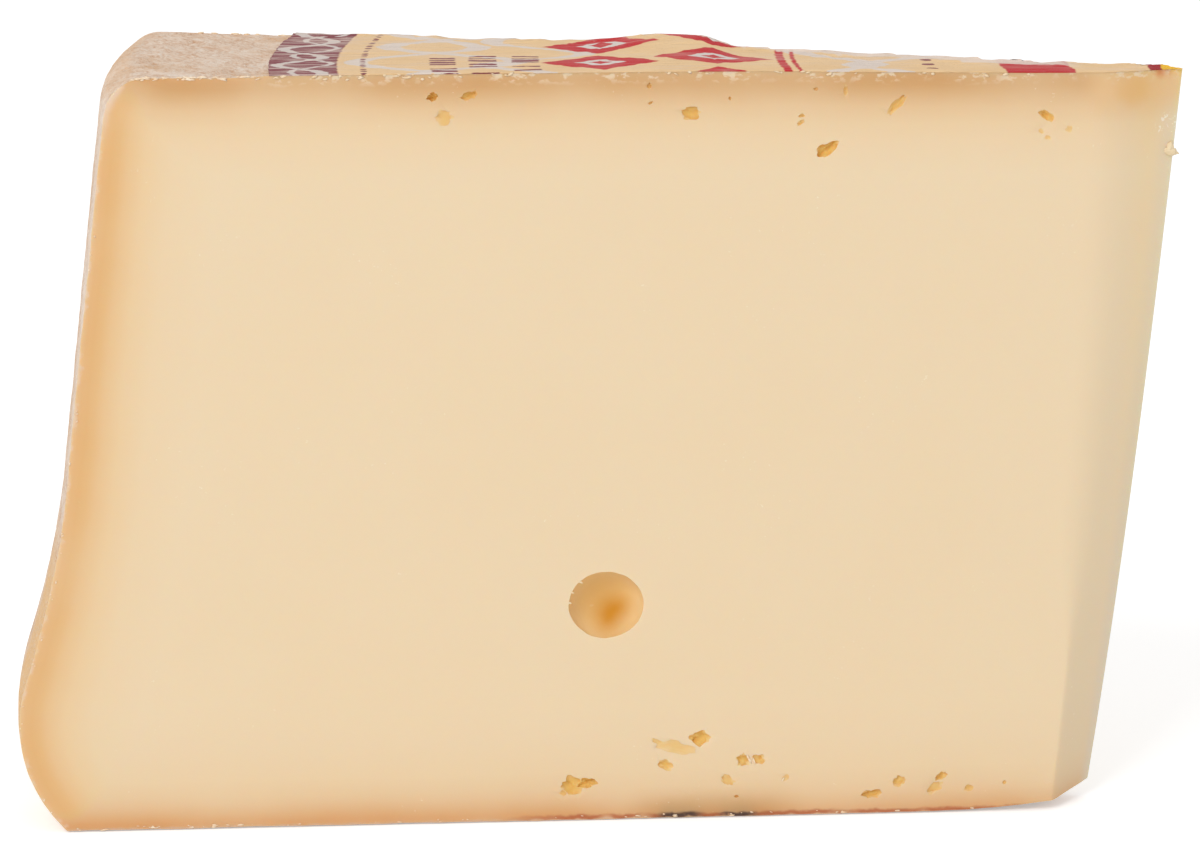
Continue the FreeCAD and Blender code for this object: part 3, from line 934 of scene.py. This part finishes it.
def cell(turn, pitch):
    """Where a place lies in its repeat round the sheet, from -0.5 to 0.5, and the repeat's number."""
    count = calc("DIVIDE", turn, pitch)
    whole = calc("FLOOR", count)
    return minus(minus(count, whole), 0.5), whole


def wave_line(radius, turn, middle, swing, pitch, shift, width):
    """A mask for one thin line that waves round the sheet."""
    phase = plus(times(turn, math.tau / pitch), shift)
    track = plus(times(calc("SINE", phase), swing), middle)
    return fade(apart(radius, track), width / 2 + 0.12, width / 2 - 0.12)


def printed_paper():
    """Cream paper with maroon, red and yellow ink, all soaked, creased and scuffed."""
    material, tree, shader = new_material("printed paper", 0.6, 0.25)
    place = object_place(tree)
    centred = vector_calc("SUBTRACT", place, tuple(label_middle / MM))
    noisy = {"Vector": place, "Scale": 1.2, "Detail": 3}
    jitter = place_node(tree, "TexNoise", noisy).outputs["Color"]
    jitter = stretched(vector_calc("SUBTRACT", jitter, (0.5, 0.5, 0.5)), (0.5, 0.5, 0.5))
    spot = vector_calc("ADD", centred, jitter)
    outward = times(component(spot, "X"), -1)
    sideways = component(spot, "Y")
    radius = calc("SQRT", squares(outward, sideways))
    turn = times(calc("ARCTAN2", sideways, outward), 180 / math.pi)

    maroon = linear(138, 62, 70)
    red = linear(204, 36, 44)
    pale = linear(226, 216, 208)
    colour = ramp(grain(place, 9, 3), (0.3, 240, 201, 149), (0.55, 244, 207, 157), (0.75, 240, 204, 160))

    # Broad pale loops over the cream field, between the rim and the red inner ring.
    net = wave_line(radius, turn, 143, 7, 11, 0.4, 2.8)
    for loop in ((139, 8, 11, 3.5, 3), (129, 6, 9, 1.1, 2.8),
                 (94, 5, 13, 4.2, 2.8), (86, 6, 13, 1.4, 2.8)):
        net = calc("MAXIMUM", net, wave_line(radius, turn, *loop))
    colour = wash(colour, net, 0.85, (230, 218, 210))

    # Red lozenges with a pale heart, a pair of thin red rings, and dark bars between rings of dots.
    for middle, start in ((121.5, 1.9), (108, 0.4)):
        local, _ = cell(plus(turn, start), 6.6)
        lozenge = plus(times(calc("ABSOLUTE", local), 2.4), calc("DIVIDE", apart(radius, middle), 7))
        colour = paint(fade(lozenge, 1.03, 0.98), colour, red)
        heart = times(fade(lozenge, 0.46, 0.42), fade(lozenge, 0.2, 0.24))
        colour = paint(heart, colour, pale)
    for inner, outer in ((98.4, 98.9), (99.6, 100.6)):
        colour = paint(ring(radius, inner, outer), colour, red)
    local, whole = cell(turn, 0.72)
    drawn = place_node(tree, "TexWhiteNoise", {"W": whole}, noise_dimensions="1D").outputs["Value"]
    for inner, outer, share in ((138.4, 141.4, 0.3), (133.6, 136.8, 0.36), (128.6, 131.8, 0.42)):
        bar = times(ring(radius, inner, outer), fade(calc("ABSOLUTE", local), 0.34, 0.28))
        window = calc("GREATER_THAN", calc("FRACT", times(drawn, 1 + inner)), share)
        reach = calc("LESS_THAN", apart(turn, 0.8), 3.4)
        colour = paint(times(bar, window, reach), colour, maroon)
    for middle, pitch, size in ((149.2, 0.55, 0.36), (83, 2.2, 0.7)):
        local, _ = cell(turn, pitch)
        aside = times(local, pitch * math.pi / 180 * middle)
        dot = calc("SQRT", squares(aside, apart(radius, middle)))
        colour = paint(fade(dot, size + 0.1, size - 0.1), colour, maroon)

    # The maroon rim with pale waves, the red inner ring, and the yellow middle.
    colour = paint(ring(radius, 152.2, 170), colour, maroon)
    for wave in ((156.6, 2.6, 5.2, 0, 1.5), (155.2, 2.4, 5.2, 2.6, 0.8)):
        colour = paint(times(wave_line(radius, turn, *wave), 0.9), colour, pale)
    colour = paint(ring(radius, 66.5, 74.6), colour, red)
    colour = paint(ring(radius, 40, 57.5), colour, linear(168, 40, 46))
    colour = paint(ring(radius, 40, 55.9), colour, linear(248, 194, 54))

    # Folds crack the ink into pale lines that run along the wedge; partly they are painted highlights along
    # the wrinkles.
    streaks = fade(grain(stretched(place, (0.1, 1, 1)), 0.8, 4, 0.62), 0.44, 0.62)
    creased = times(fade(grain(place, 10), 0.35, 0.65), 0.5)
    worn = times(streaks, calc("MAXIMUM", creased, fade(radius, 150, 153)))
    colour = wash(colour, worn, 0.62, (232, 210, 196))

    # The sheet has lost its face along the back cut, toward the nose most of all.
    from_back = behind(place, back_cut, back_out)
    torn = plus(times(grain(place, 2.6, 4, 0.6), 5), from_back)
    torn = minus(torn, times(fade(radius, 110, 90), 3))
    bare = times(fade(torn, 3.1, 2.2), fade(radius, 64, 68))
    colour = wash(colour, bare, 0.9, (236, 218, 204))

    height = plus(times(streaks, 0.6), grain(place, 0.35, 4, 0.65))
    surface(shader, colour, height, 0.6, 0.00025)
    tree.links.new(plus(times(bare, 0.25), 0.55), shader.inputs["Roughness"])
    return material


label = paper_sheet()
label.data.shade_smooth()
label.data.set_sharp_from_angle(angle=math.radians(50))
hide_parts("label")
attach(label, "root")

# ----------------------------------------------------------
# Torn bits of paper and crumbs. The wire dragged fibres of the label down over the
# cut, and crumbs of dry rind cling along the edges of the front cut.

draw = random.Random(41)
between = draw.uniform


def lump_piece(name, lumps, material, fineness=1):
    """Small rough lumps as one piece: each has its place, its three half sizes in millimetres and a turn."""
    bm = bmesh.new()
    for number, (place, sizes, turn) in enumerate(lumps):
        tilt = Matrix.Rotation(turn, 3, "Y")
        for vert in bmesh.ops.create_icosphere(bm, subdivisions=fineness, radius=1)["verts"]:
            rough = 1 + 0.35 * noise.noise(vert.co * 1.7 + Vector((number, 0, 0)))
            spot = Vector((vert.co.x * sizes[0], vert.co.y * sizes[1], vert.co.z * sizes[2])) * rough * MM
            vert.co = place + tilt @ spot
            vert.co.z = max(vert.co.z, 0.02 * MM)
    piece = mesh_object(name, bm, material)
    piece.data.shade_smooth()
    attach(piece, "root")
    return piece


def pale_bits(name, dark, light):
    """A dry crumbly finish between two colours, given as 0 to 255."""
    material, tree, shader = new_material(name, 0.7, 0.25)
    place = object_place(tree)
    colour = ramp(grain(place, 0.5, 3), (0.35, *dark), (0.65, *light))
    surface(shader, colour, grain(place, 0.15), 0.4, 0.0001)
    return material


def top_edge(along):
    """A place on the top edge of the front cut, by its distance along it."""
    place = on_front(eye_reach - along, wheel_height, 0.14)
    place.z -= sag(place)
    return place


fibre_count = 42
fibres = []
for _ in range(fibre_count):
    along = draw.choice((between(-38, -20), between(-38, 57), between(-38, 57)))
    drop = abs(draw.gauss(0, 0.25))
    place = top_edge(along) - Vector((0, 0, drop * MM))
    length = between(0.12, 0.5)
    fibres.append((place, (length, 0.03, between(0.06, 0.2)), between(-0.5, 0.5)))
torn_paper = pale_bits("torn paper", (236, 206, 164), (244, 222, 190))
fibre_piece = lump_piece("paper_fibres", fibres, torn_paper)

heel_crumbs, shoulder_crumbs, foot_crumbs, back_crumbs = 26, 34, 50, 16
crumbs = []
heel = heel_outline(0.3)
for _ in range(heel_crumbs):
    radius, level = draw.choice(heel)
    place = on_front(math.sqrt(radius ** 2 - front_offset ** 2) - between(0.2, 0.6), level, 0.17)
    size = between(0.06, 0.14)
    crumbs.append((place, (size, 0.05, size * between(1, 2.2)), between(-1, 1)))
for _ in range(shoulder_crumbs):
    place = top_edge(between(-54, -38.5)) - Vector((0, 0, between(0.05, 0.35) * MM))
    size = between(0.1, 0.24)
    crumbs.append((place, (size * between(1.2, 3.5), 0.05, size * 0.6), between(-0.3, 0.3)))
for _ in range(foot_crumbs):
    along = draw.choice((between(-64, 54), between(-64, -40), between(-6, 30)))
    size = between(0.05, 0.15)
    place = on_front(eye_reach - along, between(0.25, 0.65), 0.17)
    crumbs.append((place, (size * between(1, 3.6), 0.06, size * 0.8), between(-0.3, 0.3)))

# Two splinters of paste lie across a pair of small eyes, and a third in the eye beside them.
for along, up, sizes, turn in ((17.9, 7.2, (0.16, 0.1, 0.75), -0.5), (18.5, 7, (0.1, 0.1, 0.5), -0.35),
                               (22, 4.6, (0.09, 0.06, 0.32), 0.5)):
    crumbs.append((on_front(eye_reach - along, up, 0.18), sizes, turn))

# A few stand up along the back edge of the bare rind.
for _ in range(back_crumbs):
    along = between(118, 131)
    place = back_cut + back_along * along * MM - back_out * 0.3 * MM
    place += Vector((0, 0, (wheel_height - 0.14) * MM))
    size = between(0.12, 0.3)
    crumbs.append((place, (size * 1.6, size * 1.6, size * 0.5), between(-0.3, 0.3)))
crumb_piece = lump_piece("rind_crumbs", crumbs, pale_bits("crumbs", (240, 206, 166), (250, 232, 206)))

# A flake of paste stands out of the nose's far edge, and small bits cling to the large eye's lip.
flakes = []
flake = Vector((apex.x - 9.55 * MM, apex.y + 2.9 * MM, 79.6 * MM))
for aside, up, sizes in ((-0.5, 0, (0.85, 0.28, 0.45)), (-0.6, 0.45, (0.45, 0.28, 0.7)),
                         (-0.05, -0.15, (0.5, 0.2, 0.22))):
    flakes.append((flake + Vector((aside, 0, up)) * MM, sizes, 0.2))
for aside, up, sizes in ((-3.05, 2.8, (0.3, 0.05, 0.11)), (-4, 1.55, (0.2, 0.05, 0.09)),
                         (-4.3, 0.3, (0.22, 0.05, 0.1))):
    flakes.append((large_eye + Vector((aside, face_set_in - 0.02, up)) * MM, sizes, 0.3))
dry_paste = pale_bits("dry paste", (234, 211, 172), (238, 217, 180))
flake_piece = lump_piece("paste_flakes", flakes, dry_paste, fineness=3)

# ----------------------------------------------------------
# The studio: a pale floor, light from the upper left and all round, and the camera.

camera_data = bpy.data.cameras.new("camera")
camera_data.lens = 135
camera_data.sensor_width = 36
camera = new_object("camera", camera_data)
camera.location = on_front(161.82, 159.65, -514.45)
aim = Vector((0.07544, 0.97461, -0.21083))
camera.rotation_euler = aim.to_track_quat("-Z", "Y").to_euler()
bpy.context.scene.camera = camera

floor_material, floor_tree, floor_shader = new_material("pale floor", 0.9, 0.0)
floor_shader.inputs["Base Color"].default_value = (0.92, 0.92, 0.92, 1)
floor_shader.inputs["Emission Color"].default_value = (1, 1, 1, 1)
seen = place_node(floor_tree, "LightPath").outputs["Is Camera Ray"]
floor_tree.links.new(times(seen, 0.35), floor_shader.inputs["Emission Strength"])
floor_mesh = bmesh.new()
bmesh.ops.create_grid(floor_mesh, x_segments=2, y_segments=2, size=3.0)
floor = mesh_object("floor", floor_mesh, floor_material)

# One large square lamp, aimed at the middle of the wedge.
lamp_data = bpy.data.lights.new("key lamp", "AREA")
lamp_data.shape = "SQUARE"
lamp_data.size = 0.9
lamp_data.energy = 14
lamp = new_object("key lamp", lamp_data)
lamp.location = Vector((-0.9, -1.3, 1.2))
lamp.rotation_euler = (Vector((0, 0, 0.045)) - lamp.location).to_track_quat("-Z", "Y").to_euler()

world = bpy.data.worlds.new("studio air")
bpy.context.scene.world = world
world.use_nodes = True
background = world.node_tree.nodes["Background"]
background.inputs["Color"].default_value = (1, 1, 1, 1)
background.inputs["Strength"].default_value = 0.7

bpy.context.scene.view_settings.view_transform = "Standard"
